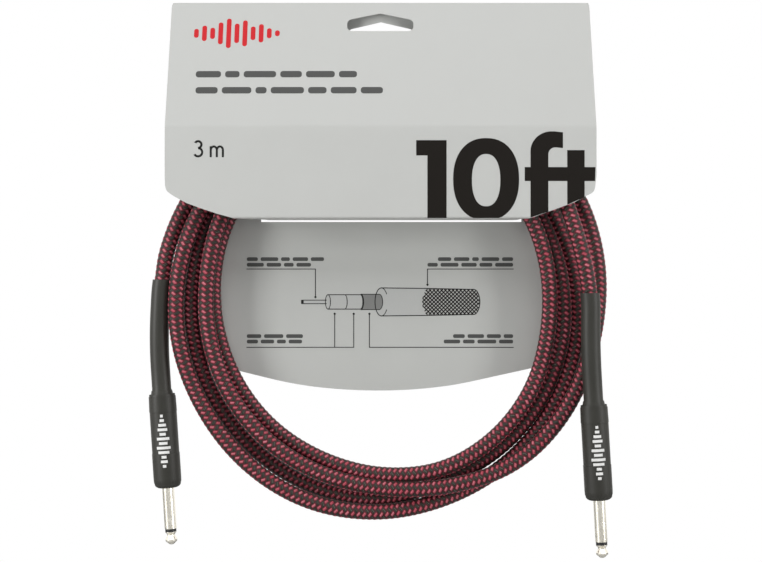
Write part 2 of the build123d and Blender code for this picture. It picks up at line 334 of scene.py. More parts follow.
MAT = {
    "braid": braid_material(),
    "card": card_material("card_board", (0.600, 0.608, 0.592)),
    # painted shade: the back panel uses the same board painted darker, standing in for the shade it gets behind the
    # coil and the flap
    "card_painted_shade": card_material("card_board_painted_shade", (0.520, 0.529, 0.512)),
    "ink_black": ink_material("ink_black", (0.0115, 0.0095, 0.0080), spec=0.10),
    "ink_text": ink_material("ink_dark", (0.020, 0.020, 0.019), spec=0.12),
    "ink_red": ink_material("ink_red", (0.66, 0.020, 0.028), spec=0.10),
    "ink_grey": ink_material("ink_grey", (0.078, 0.080, 0.078), spec=0.15),
    "ink_mid": ink_material("ink_mid", (0.200, 0.203, 0.198)),
    "ink_pale": ink_material("ink_pale", (0.46, 0.468, 0.458)),
    "ink_white": ink_material("ink_white", (0.88, 0.88, 0.87), 0.5),
    "boot": boot_material(),
    "nickel": metal_material("nickel_plate", (0.995, 0.975, 0.885), 0.20),
    "shell": metal_material("shell_steel", (0.56, 0.56, 0.56), 0.30),
    "brass": metal_material("tinned_brass", (0.74, 0.71, 0.66), 0.32, False),
    "copper": metal_material("copper_wire", (0.78, 0.36, 0.22), 0.28, False),
    "solder": solder_material(),
    "insul_black": plastic_material("insulator_black", (0.016, 0.016, 0.016), 0.30),
    "insul_white": plastic_material("insulator_white", (0.74, 0.73, 0.70), 0.35),
    "liner": plastic_material("liner_amber", (0.62, 0.52, 0.34), 0.20),
}


# ------------------------------------------------------------------ camera
cam_data = bpy.data.cameras.new("camera")
cam_data.sensor_width = 36.0
cam_data.lens = 71.29
cam_data.clip_start, cam_data.clip_end = 0.01, 50.0
cam = bpy.data.objects.new("camera", cam_data)
scene.collection.objects.link(cam)
cam.location = (0.0, -0.808, -0.1386)
cam.rotation_euler = (math.radians(90), 0, 0)
scene.camera = cam


# ------------------------------------------------------------------ the moulded boots
# Rings of the boot's outer skin: (height from the tip, radius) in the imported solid, then the mould's own.
BOOT_RINGS = [(30.5, 5.60, 30.35, 5.15), (31.2, 6.60, 31.15, 6.42), (32.4, 7.10, 32.5, 6.92), (34.0, 7.30, 35.0, 7.30),
              (40.8, 7.30, 48.42, 7.30), (41.2, 7.18, 48.58, 7.13),
              (64.6, 7.18, 70.42, 7.13), (65.0, 7.28, 70.58, 7.28), (74.0, 7.28, 78.5, 7.10),
              (76.6, 6.95, 79.7, 6.80), (80.6, 5.40, 81.7, 5.45)]


def boot_piece(side, tip, lean):
    """The moulded boot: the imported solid's skin with a sharper shoulder and its two parting rings."""
    src = NODES["heat_shrink_boot_" + side]
    axis = np.array([-math.sin(math.radians(lean)), 0.0, math.cos(math.radians(lean))])
    co = np.array([src.matrix_world @ v.co for v in src.data.vertices]) / MM
    rel = co - np.array(tip)
    along = rel @ axis
    out = rel - along[:, None] * axis
    r = np.linalg.norm(out, axis=1)
    for s0, r0, s1, r1 in BOOT_RINGS:
        at = (np.abs(along - s0) < 0.12) & (np.abs(r - r0) < 0.05)
        if not at.any():
            raise ValueError("no ring at %.1f on boot %s" % (s0, side))
        co[at] = np.array(tip) + axis * s1 + out[at] / r[at][:, None] * r1
    obj = new_object("moulded_boot_" + side, co * MM, [tuple(p.vertices) for p in src.data.polygons],
                     MAT["boot"], ROOT)
    clean_normals(obj)
    obj.data.shade_smooth()
    obj.data.set_sharp_from_angle(angle=math.radians(24))
    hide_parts(src.name)
    return obj


BOOT_A = boot_piece("a", (-110.8, -9.0, -278.0), 3.70)
BOOT_B = boot_piece("b", (115.2, -23.0, -282.6), 3.27)


# ------------------------------------------------------------------ the cable
# The route's own control points. Coil points are (angle, radius, depth) about the coil's
# centre: angle 0 is right, 90 is up; the cable runs clockwise from plug A to plug B.
CX, CZ = 0.0, -148.7
LEAD_A = [(-117.46, -9.0, -163.8), (-116.85, -9.0, -150.0), (-115.5, -9.0, -135.5), (-113.3, -9.0, -121.5)]
TURNS = [
    # out of boot A and over the top
    (155, 113.9, -8.6), (139, 113.9, -7.8), (122, 114.2, -6.4), (105, 113.0, -5.2), (88, 112.4, -4.9),
    (70, 113.8, -4.9), (50, 116.2, -5.5), (30, 118.2, -7.0),
    # first full turn: outermost on the right, crosses in front of the others at the bottom
    (10, 116.4, -9.2), (350, 113.6, -11.4), (330, 113.4, -12.8), (310, 111.6, -13.3), (290, 104.0, -13.6),
    (270, 98.4, -13.6), (250, 96.2, -13.4), (230, 95.0, -13.1), (210, 93.6, -12.9), (190, 92.3, -12.8),
    (170, 92.2, -12.9), (150, 95.3, -12.9), (130, 95.6, -12.9), (110, 94.4, -13.0), (90, 92.4, -13.3),
    (70, 90.9, -13.9), (50, 90.1, -15.2), (30, 89.9, -16.3),
    # second: innermost
    (10, 88.7, -15.0), (350, 88.9, -13.6), (330, 92.0, -12.9), (310, 93.9, -13.0), (290, 94.8, -12.4),
    (270, 92.2, -10.0), (250, 89.8, -6.6), (230, 89.0, -5.0), (210, 88.3, -4.9), (190, 88.4, -4.9),
    (170, 90.0, -4.9), (150, 92.4, -4.9), (130, 93.2, -4.9), (110, 95.0, -4.9), (90, 96.0, -5.0),
    (70, 96.0, -6.0), (50, 95.3, -8.0), (30, 94.5, -9.9),
    # third: behind the innermost, deep at the bottom
    (10, 95.4, -10.4), (350, 97.7, -9.2), (330, 99.6, -6.2), (310, 100.8, -5.0), (290, 101.0, -4.8),
    (270, 106.0, -4.8), (250, 105.5, -4.8), (230, 104.1, -4.8), (210, 102.6, -4.8), (190, 101.9, -4.8),
    (170, 100.6, -4.8), (150, 100.6, -4.8), (130, 101.7, -4.8), (110, 103.4, -4.8), (90, 104.3, -4.8),
    (70, 104.2, -4.8), (50, 102.9, -4.8), (30, 101.6, -4.8),
    # fourth: deep on the right, outermost at the bottom and on the left
    (10, 103.2, -4.8), (350, 106.1, -4.8), (330, 107.6, -4.8), (310, 109.3, -4.8), (290, 110.4, -5.4),
    (270, 111.8, -11.6), (250, 112.7, -12.8), (230, 111.2, -12.8), (210, 109.2, -12.8), (190, 108.7, -12.8),
    (170, 107.4, -12.8), (150, 106.2, -12.8), (130, 105.4, -12.9), (110, 106.1, -12.9), (90, 107.8, -12.5),
    # over the top and down to boot B, in front of everything
    (70, 110.2, -12.9), (50, 112.6, -16.3), (32, 109.2, -20.3),
]
LEAD_B = [(101.0, -21.9, -110.6), (104.9, -22.6, -124.4), (107.9, -23.0, -139.0), (109.2, -23.0, -155.0),
          (109.06, -23.0, -170.8)]
BULGE = 1.0154         # the spline cuts inside its control points by this much at 20 degree steps


def route_points():
    pts = [Vector(p) for p in LEAD_A]
    for angle, radius, depth in TURNS:
        th, r = math.radians(angle), radius * BULGE
        pts.append(Vector((CX + r * math.cos(th), depth, CZ + r * math.sin(th))))
    pts += [Vector(p) for p in LEAD_B]
    return [p * MM for p in pts]


def spline_line(name, pts, resolution=48):
    """The points of a smooth NURBS line through the route, as Blender evaluates it."""
    curve = bpy.data.curves.new(name, "CURVE")
    curve.dimensions = "3D"
    curve.resolution_u = resolution
    s = curve.splines.new("NURBS")
    s.points.add(len(pts) - 1)
    for sp, p in zip(s.points, pts):
        sp.co = (*p, 1.0)
    s.order_u = 3
    s.use_endpoint_u = True
    obj = bpy.data.objects.new(name, curve)
    scene.collection.objects.link(obj)
    deps = bpy.context.evaluated_depsgraph_get()
    deps.update()
    mesh = bpy.data.meshes.new_from_object(obj.evaluated_get(deps))
    line = np.array([v.co for v in mesh.vertices], float)
    bpy.data.meshes.remove(mesh)
    bpy.data.objects.remove(obj)
    bpy.data.curves.remove(curve)
    return line


def even_line(line, count):
    d = np.linalg.norm(np.diff(line, axis=0), axis=1)
    s = np.concatenate([[0], np.cumsum(d)])
    at = np.linspace(0, s[-1], count)
    return np.stack([np.interp(at, s, line[:, k]) for k in range(3)], 1), s[-1]


def smooth_line(line, times):
    for _ in range(times):
        inner = (line[:-2] + 2 * line[1:-1] + line[2:]) / 4
        line = np.concatenate([line[:1], inner, line[-1:]])
    return line


def carried_frames(line):
    """Tangent and two cross directions at every point, carried along without twist."""
    tan = np.gradient(line, axis=0)
    tan /= np.linalg.norm(tan, axis=1)[:, None]
    n = np.cross(tan[0], (0.0, 1.0, 0.0))
    n /= np.linalg.norm(n)
    first = np.empty_like(line)
    for i, t in enumerate(tan):
        n = n - t * np.dot(n, t)
        n /= np.linalg.norm(n)
        first[i] = n
    return tan, first, np.cross(tan, first)


CABLE_R = 4.0
AROUND = 28
raw = spline_line("route", route_points())
PITCH = BRAID_LEAD / BRAID_N * MM
probe, CABLE_LEN = even_line(raw, 4000)
RINGS = int(round(CABLE_LEN / (PITCH / 7))) + 1      # seven rings to a pick
ring_line, CABLE_LEN = even_line(raw, RINGS)
ring_line = smooth_line(ring_line, 6)
step = CABLE_LEN / (RINGS - 1)
tan, e1, e2 = carried_frames(ring_line)


def braid_relief(u, v):
    """Height of the braid's surface above its mean, in mm, at u turns round and v metres along."""
    u = u + BRAID_PHASE
    p = BRAID_N * (u + v / (BRAID_LEAD * MM))
    q = BRAID_N * (u - v / (BRAID_LEAD * MM))
    fp, fq = np.floor(p), np.floor(q)
    dark = np.mod(fp + fq, 2) > 0.5
    rp, rq = p - fp, q - fq
    across = np.where(dark, rq, rp) - 0.5
    along = np.where(dark, rp, rq) - 0.5
    body = np.sqrt(np.clip(np.cos(np.pi * across * 0.97), 0, 1)) * (0.55 + 0.45 * np.cos(np.pi * along))
    return np.where(dark, 0.24, 0.34) * body - 0.12


uu = (np.arange(AROUND) + 0.5) / AROUND
vv = np.arange(RINGS) * step
U, V = np.meshgrid(uu, vv)
R = (CABLE_R + braid_relief(U, V)) * MM
ang = 2 * np.pi * U
P = ring_line[:, None, :] + R[..., None] * (np.cos(ang)[..., None] * e1[:, None, :] + np.sin(ang)[..., None] * e2[:, None, :])
verts = P.reshape(-1, 3)
i = np.arange(RINGS - 1)[:, None] * AROUND
j = np.arange(AROUND)[None, :]
jn = (j + 1) % AROUND
quads = np.stack([i + j, i + jn, i + jn + AROUND, i + j + AROUND], -1).reshape(-1, 4)
mesh = bpy.data.meshes.new("braided_cable")
mesh.vertices.add(len(verts))
mesh.vertices.foreach_set("co", verts.astype(np.float32).ravel())
caps = [list(range(AROUND))[::-1], [(RINGS - 1) * AROUND + k for k in range(AROUND)]]
loops = np.concatenate([quads.ravel(), np.array(caps).ravel()]).astype(np.int32)
mesh.loops.add(len(loops))
mesh.loops.foreach_set("vertex_index", loops)
starts = np.concatenate([np.arange(len(quads)) * 4, [len(quads) * 4, len(quads) * 4 + AROUND]]).astype(np.int32)
mesh.polygons.add(len(starts))
mesh.polygons.foreach_set("loop_start", starts)
mesh.update(calc_edges=True)
uvs = np.zeros((len(loops), 2), np.float32)
u0 = np.broadcast_to(uu[None, :], (RINGS - 1, AROUND))
u1 = u0 + 1.0 / AROUND
v0 = np.broadcast_to(vv[:-1, None], (RINGS - 1, AROUND))
v1 = v0 + step
quv = np.stack([np.stack([u0, v0], -1), np.stack([u1, v0], -1), np.stack([u1, v1], -1), np.stack([u0, v1], -1)], 2)
uvs[: len(quads) * 4] = quv.reshape(-1, 2)
layer = mesh.uv_layers.new(name="BraidUV")
layer.data.foreach_set("uv", uvs.ravel())
mesh.validate()
mesh.shade_smooth()
mesh.materials.append(MAT["braid"])
cable = bpy.data.objects.new("braided_cable", mesh)
scene.collection.objects.link(cable)
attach(cable, ROOT)
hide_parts("cable_coil", "cable_lead_a", "cable_lead_b")
print("CABLE length", round(CABLE_LEN, 4), "rings", RINGS, "faces", len(mesh.polygons))


# ------------------------------------------------------------------ the card
def profile_rounded(corners, radii, step_deg=9.0):
    """A (y, z) polyline with its inner corners rounded by arcs."""
    out = [np.array(corners[0], float)]
    for k in range(1, len(corners) - 1):
        p, c, n = (np.array(corners[m], float) for m in (k - 1, k, k + 1))
        d0, d1 = (p - c) / np.linalg.norm(p - c), (n - c) / np.linalg.norm(n - c)
        half = math.acos(np.clip(np.dot(d0, d1), -1, 1)) / 2
        r = radii[k]
        cut = r / math.tan(half)
        centre = c + (d0 + d1) / np.linalg.norm(d0 + d1) * r / math.sin(half)
        a0, a1 = c + d0 * cut - centre, c + d1 * cut - centre
        t0, t1 = math.atan2(a0[1], a0[0]), math.atan2(a1[1], a1[0])
        while t1 - t0 > math.pi:
            t1 -= 2 * math.pi
        while t1 - t0 < -math.pi:
            t1 += 2 * math.pi
        m = max(3, int(abs(math.degrees(t1 - t0)) / step_deg) + 1)
        for w in np.linspace(t0, t1, m + 1):
            out.append(centre + r * np.array([math.cos(w), math.sin(w)]))
    out.append(np.array(corners[-1], float))
    return np.array(out)


def refine(line, longest):
    out = [line[0]]
    for a, b in zip(line[:-1], line[1:]):
        m = max(1, int(math.ceil(np.linalg.norm(b - a) / longest)))
        for k in range(1, m + 1):
            out.append(a + (b - a) * k / m)
    return np.array(out)


CARD_T = 0.6
FOLD = (0.3, 9.9)
# the flap's profile from the top fold, down the slant, the crease, the upright and the tuck flap
flap_corners = [(0.42, 10.36), (-0.10, 10.12), (-28.0, -58.5), (-28.0, -106.2), (8.0, -105.7)]
flap_line = profile_rounded(flap_corners, {1: 0.25, 2: 6.0, 3: 1.15})


CORNER_L = [(84.0, -111.9), (86.4, -111.8), (89.0, -111.7), (90.4, -111.4), (91.4, -111.1), (92.3, -110.5), (93.2, -109.4),
            (94.3, -107.8), (95.7, -105.4), (98.3, -100.6), (101.2, -92.7), (103.8, -84.8), (105.4, -78.9), (106.2, -76.3)]
CORNER_R = [(84.0, 111.5), (86.4, 111.2), (89.0, 110.9), (90.7, 110.6), (91.8, 110.2), (92.7, 109.6), (93.5, 108.4),
            (94.5, 106.3), (95.9, 103.6), (97.9, 100.0), (100.6, 92.6), (103.4, 84.8), (105.3, 79.5), (106.2, 76.9)]


def flap_sides(y, z, on_tuck):
    """Left and right edge of the flap at a point of its profile."""
    if on_tuck:
        pts_r = [(-28.5, 76.9), (-26.0, 76.9), (-19.0, 73.6), (-2.0, 73.2), (6.2, 72.2), (7.4, 70.9), (8.0, 69.0)]
        pts_l = [(-28.5, -76.3), (-26.0, -76.3), (-19.0, -73.4), (-2.0, -62.0), (6.2, -61.0), (7.4, -59.7), (8.0, -57.8)]
        return (float(np.interp(y, [p[0] for p in pts_l], [p[1] for p in pts_l])),
                float(np.interp(y, [p[0] for p in pts_r], [p[1] for p in pts_r])))
    k = 1.0
    if z > 9.0:
        k = 1.0 - 0.004 * (z - 9.0)
    xl, xr = -111.9 * k, 111.5 * k
    if z < -84.0:      # the cut corners, with their short curved shoulders
        xl = float(np.interp(-z, [p[0] for p in CORNER_L], [p[1] for p in CORNER_L]))
        xr = float(np.interp(-z, [p[0] for p in CORNER_R], [p[1] for p in CORNER_R]))
    return xl, xr


def fine_rows(line):
    out = [line[0]]
    for a, b in zip(line[:-1], line[1:]):
        zmid = (a[1] + b[1]) / 2
        on_tuck = a[0] > -27.5 and zmid < -100
        span = np.linalg.norm(b - a)
        m = max(1, int(math.ceil(span / (1.2 if on_tuck else 3.0))))
        ts = np.linspace(0, 1, m + 1)[1:]
        if a[1] > -84 and b[1] < -90:
            z = np.concatenate([np.arange(a[1], -84, -3.0)[1:], np.arange(-84, b[1], -0.6), [b[1]]])
            ts = (z - a[1]) / (b[1] - a[1])
        for t in ts:
            out.append(a + (b - a) * t)
    return np.array(out)


def flap_depth(z):
    """How far the flap's side edges bend back at a height."""
    return 0.7 * math.exp(-((z + 40.0) / 45.0) ** 2) if z > -106 else 0.0


def bow(x, z, amount):
    return amount * (x / 111.0) ** 2


def build_flap():
    line = fine_rows(flap_line)
    d = np.gradient(line, axis=0)
    d /= np.linalg.norm(d, axis=1)[:, None]
    normal = np.stack([d[:, 1], -d[:, 0]], 1)      # outward: to -Y on the front
    if normal[len(normal) // 3][0] > 0:
        normal = -normal
    inner = line - normal * CARD_T
    cols = 56
    verts, rows = [], len(line)
    for side in (line, inner):
        for k in range(rows):
            y, z = line[k]
            on_tuck = z < -104.5 and y > -27.2
            xl, xr = flap_sides(y, z, on_tuck)
            depth = flap_depth(z)
            for c in range(cols + 1):
                x = xl + (xr - xl) * c / cols
                lift = bow(x, z, depth)
                verts.append((x * MM, (side[k][0] + lift) * MM, side[k][1] * MM))
    n = cols + 1
    faces = []
    for k in range(rows - 1):
        for c in range(cols):
            a = k * n + c
            faces.append((a, a + n, a + n + 1, a + 1))
            b = a + rows * n
            faces.append((b, b + 1, b + n + 1, b + n))
    off = rows * n
    for k in range(rows - 1):
        faces.append((k * n, off + k * n, off + (k + 1) * n, (k + 1) * n))
        r = k * n + cols
        faces.append((r, r + n, off + r + n, off + r))
    for c in range(cols):
        faces.append((c, c + 1, off + c + 1, off + c))
        e = (rows - 1) * n + c
        faces.append((e, off + e, off + e + 1, e + 1))
    obj = new_object("card_front_flap", verts, faces, MAT["card"], None, smooth=False)
    clean_normals(obj)
    return obj


def slot_shape(x0, top, half=17.6, rise=4.1, height=10.9, r=2.8):
    """The hang slot's outline: a low house shape with rounded ends."""
    corners = [(x0, top), (x0 + half, top - rise), (x0 + half, top - height), (x0 - half, top - height),
               (x0 - half, top - rise)]
    out = []
    m = len(corners)
    for k, c in enumerate(corners):
        p, n = np.array(corners[k - 1]), np.array(corners[(k + 1) % m])
        c = np.array(c)
        rr = r if k else 1.0
        d0, d1 = (p - c) / np.linalg.norm(p - c), (n - c) / np.linalg.norm(n - c)
        half_a = math.acos(np.clip(np.dot(d0, d1), -1, 1)) / 2
        cut = rr / math.tan(half_a)
        cut = min(cut, 4.0)
        rr = cut * math.tan(half_a)
        centre = c + (d0 + d1) / np.linalg.norm(d0 + d1) * rr / math.sin(half_a)
        a0, a1 = c + d0 * cut - centre, c + d1 * cut - centre
        t0, t1 = math.atan2(a0[1], a0[0]), math.atan2(a1[1], a1[0])
        while t1 - t0 > math.pi:
            t1 -= 2 * math.pi
        while t1 - t0 < -math.pi:
            t1 += 2 * math.pi
        for w in np.linspace(t0, t1, 9):
            out.append(tuple(centre + rr * np.array([math.cos(w), math.sin(w)])))
    return out


def cutter(name, outline, place, depth0, depth1):
    """A prism from a closed (x, h) outline; place(x, h, d) gives its point in mm."""
    n = len(outline)
    verts = [place(x, h, depth0) for x, h in outline] + [place(x, h, depth1) for x, h in outline]
    faces = [list(range(n))[::-1], list(range(n, 2 * n))]
    faces += [(k, (k + 1) % n, n + (k + 1) % n, n + k) for k in range(n)]
    obj = new_object(name, [[c * MM for c in v] for v in verts], faces, None, None, smooth=False)
    clean_normals(obj)
    return obj


def cut(obj, tools):
    for tool in tools:
        m = obj.modifiers.new("cut", "BOOLEAN")
        m.operation, m.solver, m.object = "DIFFERENCE", "EXACT", tool
        apply_modifiers(obj)
        data = tool.data
        bpy.data.objects.remove(tool)
        bpy.data.meshes.remove(data)


SLANT = math.atan2(28.3, 68.4)


def on_slant(x, h, d):
    """h down the slanted part from the fold, d out of it."""
    y0, z0 = 0.05, 10.25
    return (x, y0 - math.sin(SLANT) * (-h) - math.cos(SLANT) * d, z0 - math.cos(SLANT) * (-h) + math.sin(SLANT) * d)


flap = build_flap()
cut(flap, [cutter("slot_tool_front", slot_shape(-0.4, -6.5), on_slant, -6, 6)])
flap.data.shade_smooth()
flap.data.set_sharp_from_angle(angle=math.radians(28))
if not flap.data.materials:
    flap.data.materials.append(MAT["card"])
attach(flap, FLAP)
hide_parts("header_front_panel")


def back_half_width(z, left):
    """Half width of the back panel at a height, on one side."""
    if left:
        pts = [(9.4, 111.9), (-80.0, 111.9), (-84.0, 111.5), (-86.0, 110.4), (-110.0, 97.9), (-112.0, 97.5), (-176.0, 97.5),
               (-178.8, 97.1), (-180.6, 96.2), (-181.9, 94.6)]
    else:
        pts = [(9.4, 111.5), (-80.0, 111.5), (-84.0, 111.1), (-86.0, 110.0), (-110.0, 97.9), (-112.0, 97.5), (-176.0, 97.5),
               (-178.8, 97.1), (-180.6, 96.2), (-182.1, 94.6)]
    return float(np.interp(-z, [-p[0] for p in pts], [p[1] for p in pts]))


def back_bottom(x):
    """Height of the back panel's lower edge at x: two long straight runs and a curved middle."""
    xs = [-94.6, -70, -52, -40, -30, -20, -10, 0, 10, 20, 30, 42, 55, 75, 94.6]
    zs = [-182.0, -188.2, -192.6, -194.7, -195.9, -196.7, -197.2, -197.3, -197.1, -196.5, -195.5, -193.8, -190.9, -186.5, -182.1]
    return float(np.interp(x, xs, zs))


def smooth_edge(x):
    return sum(back_bottom(x + d) for d in (-6, -3, 0, 3, 6)) / 5


def back_lift(x, z):
    """The back panel's margins bend forward a little beside and below the coil's middle."""
    fade = 1 if z < -112 else math.exp(-((z + 112) / 8) ** 2)
    return -1.6 * (abs(x) / 97.5) ** 4 * math.exp(-((z + 150.0) / 38.0) ** 2) * fade


def build_back():
    rows = [9.4, 8.6, 7.6] + list(np.arange(5.0, -80.0, -3.4)) + list(np.arange(-80.0, -87.0, -0.8)) + \
        list(np.arange(-88.0, -109.0, -2.6)) + list(np.arange(-109.0, -113.0, -0.8)) + \
        list(np.arange(-115.0, -176.0, -3.4)) + [-176.0, -177.4, -178.8, -179.8, -180.6, -181.2, -181.7]
    cols = 64
    n = cols + 1
    verts = []
    last = rows[-1]
    tail = 6
    total = len(rows) + tail
    for y_side in (0.0, CARD_T):
        for z in rows:
            xl, xr = -back_half_width(z, True), back_half_width(z, False)
            zt = z
            if z > 9.0 and y_side == 0.0:
                zt = 8.2
            elif z > 8.0 and y_side == 0.0:
                zt = 7.9
            for c in range(n):
                x = xl + (xr - xl) * c / cols
                lift = back_lift(x, z)
                verts.append((x * MM, (y_side + lift) * MM, zt * MM))
        for k in range(1, tail + 1):
            w = k / tail
            for c in range(n):
                x = -94.6 + 189.2 * c / cols
                zb = min(smooth_edge(x), last - 0.25)
                z = last + (zb - last) * w
                lift = back_lift(x, z)
                verts.append((x * MM, (y_side + lift) * MM, z * MM))
    faces = []
    off = total * n
    for k in range(total - 1):
        for c in range(cols):
            a = k * n + c
            faces.append((a, a + n, a + n + 1, a + 1))
            b = a + off
            faces.append((b, b + 1, b + n + 1, b + n))
        faces.append((k * n, off + k * n, off + (k + 1) * n, (k + 1) * n))
        r = k * n + cols
        faces.append((r, r + n, off + r + n, off + r))
    for c in range(cols):
        faces.append((c, c + 1, off + c + 1, off + c))
        e = (total - 1) * n + c
        faces.append((e, off + e, off + e + 1, e + 1))
    obj = new_object("card_back_panel", verts, faces, MAT["card_painted_shade"], None, smooth=False)
    clean_normals(obj)
    return obj


back = build_back()
slit = [(-64.2, -107.0), (75.2, -107.0), (75.2, -104.6), (-64.2, -104.6)]
cut(back, [cutter("slot_tool_back", slot_shape(0.0, 0.0), lambda x, h, d: (x, -d, h), -4, 4),
           cutter("slit_tool", slit, lambda x, h, d: (x, -d, h), -4, 4)])
back.data.shade_smooth()
back.data.set_sharp_from_angle(angle=math.radians(28))
if not back.data.materials:
    back.data.materials.append(MAT["card_painted_shade"])
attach(back, ROOT)
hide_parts("header_back_panel")


# ------------------------------------------------------------------ prints, all plain generic marks
CREST = ((-0.10, 10.12), (-28.0, -58.5))       # the slanted part's outer line in (y, z)
SLANT_LEN = math.dist(*CREST)
SLANT_U = tuple((b - a) / SLANT_LEN for a, b in zip(*CREST))


def slant_place(x, h, d):
    """h mm (negative) down the slanted part from the fold, d out of it."""
    y = CREST[0][0] - SLANT_U[0] * h
    z = CREST[0][1] - SLANT_U[1] * h
    return (x, y + SLANT_U[1] * d + bow(x, z, flap_depth(z)), z - SLANT_U[0] * d)


def front_place(x, z, d):
    return (x, -28.0 - d + bow(x, z, flap_depth(z)), z)


def inner_place(x, z, d):
    return (x, back_lift(x, z) - d, z)


def ink_piece(name, shapes, place, material, body, thick=0.05):
    """Flat printed shapes as one thin piece. A shape is an outline, or a list of outlines with the holes last."""
    verts, faces = [], []
    for shape in shapes:
        rings = shape if isinstance(shape[0][0], (list, tuple)) else [shape]
        flat = [p for ring in rings for p in ring]
        tris = tessellate_polygon([[Vector((x, h, 0)) for x, h in ring] for ring in rings])
        base, n = len(verts), len(flat)
        verts += [place(x, h, thick) for x, h in flat] + [place(x, h, -0.03) for x, h in flat]
        for a, b, c in tris:
            faces.append((base + a, base + b, base + c))
            faces.append((base + n + c, base + n + b, base + n + a))
        start = 0
        for ring in rings:
            m = len(ring)
            for k in range(m):
                a, b = base + start + k, base + start + (k + 1) % m
                faces.append((a, b, b + n, a + n))
            start += m
    obj = new_object(name, [[c * MM for c in v] for v in verts], faces, material, None, smooth=False)
    clean_normals(obj)
    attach(obj, body)
    return obj


def bar(x0, x1, h0, h1, r=None, m=5):
    """A bar with rounded ends."""
    r = min(abs(x1 - x0), abs(h1 - h0)) / 2 if r is None else r
    out = []
    for cx, cy, a0 in ((x1 - r, h1 - r, 0), (x0 + r, h1 - r, 90), (x0 + r, h0 + r, 180), (x1 - r, h0 + r, 270)):
        for k in range(m + 1):
            a = math.radians(a0 + 90 * k / m)
            out.append((cx + r * math.cos(a), cy + r * math.sin(a)))
    return out


def line_strip(pts, w):
    """A run of straight segments as separate bars, short enough to follow a bend in the sheet."""
    out = []
    for (x0, y0), (x1, y1) in zip(pts[:-1], pts[1:]):
        d = math.dist((x0, y0), (x1, y1))
        n = max(1, int(math.ceil(d / 9.0)))
        ux, uy = (x1 - x0) / d, (y1 - y0) / d
        for k in range(n):
            a, b = d * k / n - (w / 2 if k == 0 else 0), d * (k + 1) / n + (w / 2 if k == n - 1 else 0)
            out.append([(x0 + ux * a - uy * w / 2, y0 + uy * a + ux * w / 2), (x0 + ux * a + uy * w / 2, y0 + uy * a - ux * w / 2),
                        (x0 + ux * b + uy * w / 2, y0 + uy * b - ux * w / 2), (x0 + ux * b - uy * w / 2, y0 + uy * b + ux * w / 2)])
    return out


def arc_pts(cx, cy, rx, ry, a0, a1, m=14):
    return [(cx + rx * math.cos(math.radians(a0 + (a1 - a0) * k / m)), cy + ry * math.sin(math.radians(a0 + (a1 - a0) * k / m)))
            for k in range(m + 1)]


def thick_arc(cx, cy, rx, ry, a0, a1, w, m=14):
    return arc_pts(cx, cy, rx + w / 2, ry + w / 2, a0, a1, m) + arc_pts(cx, cy, rx - w / 2, ry - w / 2, a1, a0, m)


def word_bars(x0, x1, y0, y1, widths, gap):
    """A line of text as plain bars of uneven length."""
    k = (x1 - x0 - gap * (len(widths) - 1)) / sum(widths)
    out, x = [], x0
    for w in widths:
        out.append(bar(x, x + w * k, y0, y1, (y1 - y0) * 0.38, 3))
        x += w * k + gap
    return out


# a level-meter mark in red on the slanted part
LEVELS = [0.30, 0.52, 0.38, 0.74, 1.0, 0.66, 0.88, 0.46, 0.62, 0.34, 0.20]
meter = []
for k, v in enumerate(LEVELS):
    x = -98.0 + k * 4.30
    meter.append(bar(x - 1.25, x + 1.25, -18.6 - 9.0 * v, -18.6 + 9.0 * v))
ink_piece("print_red_mark", meter, slant_place, MAT["ink_red"], FLAP)
rows_text = word_bars(-97.2, -12.6, -45.3, -41.5, [7, 4, 9, 6, 8, 5], 2.2) + \
    word_bars(-96.9, 1.0, -54.9, -51.1, [6, 8, 3, 9, 5, 7, 6], 2.2)
ink_piece("print_text_bars", rows_text, slant_place, MAT["ink_grey"], FLAP)

# the cable's length in metres, small
small = [thick_arc(-94.6, -68.05, 1.75, 1.75, 150, -90, 1.15), thick_arc(-94.6, -72.0, 2.15, 2.15, 90, -150, 1.15),
         bar(-88.6, -87.5, -74.6, -68.9, 0.2, 2), thick_arc(-86.45, -70.9, 1.55, 1.85, 180, 0, 1.1),
         bar(-85.45, -84.35, -74.6, -70.9, 0.2, 2), thick_arc(-83.3, -70.9, 1.55, 1.85, 180, 0, 1.1),
         bar(-82.3, -81.2, -74.6, -70.9, 0.2, 2)]
ink_piece("print_length_small", small, front_place, MAT["ink_text"], FLAP)


def oval(x0, x1, z0, z1, power, m=56):
    cx, cz, rx, rz = (x0 + x1) / 2, (z0 + z1) / 2, (x1 - x0) / 2, (z1 - z0) / 2
    out = []
    for k in range(m):
        a = 2 * math.pi * k / m
        c, s = math.cos(a), math.sin(a)
        out.append((cx + rx * math.copysign(abs(c) ** (2 / power), c), cz + rz * math.copysign(abs(s) ** (2 / power), s)))
    return out


